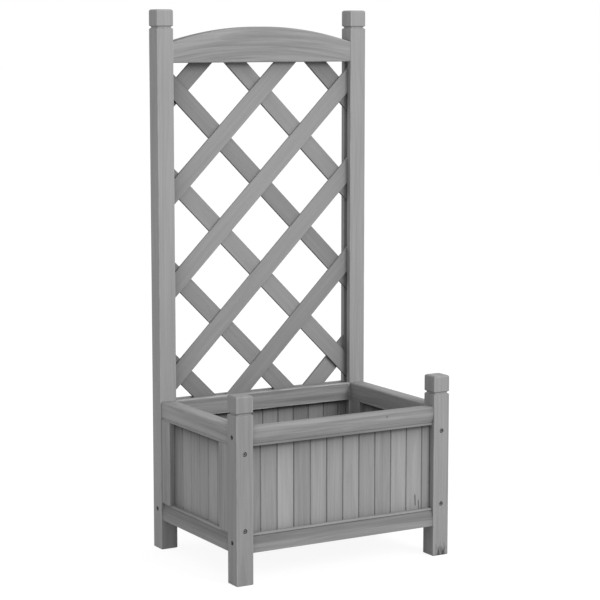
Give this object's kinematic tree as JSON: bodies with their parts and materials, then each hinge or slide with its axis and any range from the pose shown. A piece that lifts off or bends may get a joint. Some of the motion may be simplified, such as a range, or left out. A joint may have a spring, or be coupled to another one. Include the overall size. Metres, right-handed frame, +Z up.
{
  "type": "planter with trellis",
  "caption": "Wooden planting box on square posts, its tall rear posts carrying a diagonal lattice trellis under an arched rail.",
  "frame": {"origin": "on the ground, under the middle of the four posts", "axes": "+X to the right seen from the front panel, +Y from the front panel towards the trellis, +Z up"},
  "size_m": [0.4, 0.295, 0.9],
  "materials": {
    "post_wood": "grey stain, brushed along the grain",
    "rail_wood": "grey stain, brushed along the grain",
    "board_wood": "grey stain, each board its own tone",
    "slat_wood": "grey stain",
    "floor_wood": "grey stain, plain",
    "screw_steel": "dark zinc"
  },
  "bodies": {
    "root": {"arch_rail": "rail_wood", "falling_slat_1": "slat_wood", "falling_slat_2": "slat_wood", "falling_slat_3": "slat_wood", "falling_slat_4": "slat_wood", "falling_slat_5": "slat_wood", "falling_slat_6": "slat_wood", "floor_cleats": "floor_wood", "floor_slats": "floor_wood", "front_board_01": "board_wood", "front_board_02": "board_wood", "front_board_03": "board_wood", "front_board_04": "board_wood", "front_board_05": "board_wood", "front_board_06": "board_wood", "front_board_07": "board_wood", "front_board_08": "board_wood", "front_board_09": "board_wood", "front_board_10": "board_wood", "front_board_11": "board_wood", "front_board_12": "board_wood", "front_bottom_rail": "rail_wood", "front_post_left": "post_wood", "front_post_right": "post_wood", "front_screws": "screw_steel", "front_top_rail": "rail_wood", "left_board_01": "board_wood", "left_board_02": "board_wood", "left_board_03": "board_wood", "left_board_04": "board_wood", "left_board_05": "board_wood", "left_board_06": "board_wood", "left_bottom_rail": "rail_wood", "left_front_stile": "rail_wood", "left_rear_stile": "rail_wood", "left_top_rail": "rail_wood", "rear_boards": "board_wood", "rear_bottom_rail": "rail_wood", "rear_post_left": "post_wood", "rear_post_right": "post_wood", "rear_screws": "screw_steel", "rear_top_rail": "rail_wood", "right_board_01": "board_wood", "right_board_02": "board_wood", "right_board_03": "board_wood", "right_board_04": "board_wood", "right_board_05": "board_wood", "right_board_06": "board_wood", "right_bottom_rail": "rail_wood", "right_front_stile": "rail_wood", "right_rear_stile": "rail_wood", "right_top_rail": "rail_wood", "rising_slat_1": "slat_wood", "rising_slat_2": "slat_wood", "rising_slat_3": "slat_wood", "rising_slat_4": "slat_wood", "rising_slat_5": "slat_wood", "rising_slat_6": "slat_wood", "side_screws": "screw_steel"}
  },
  "joints": []
}
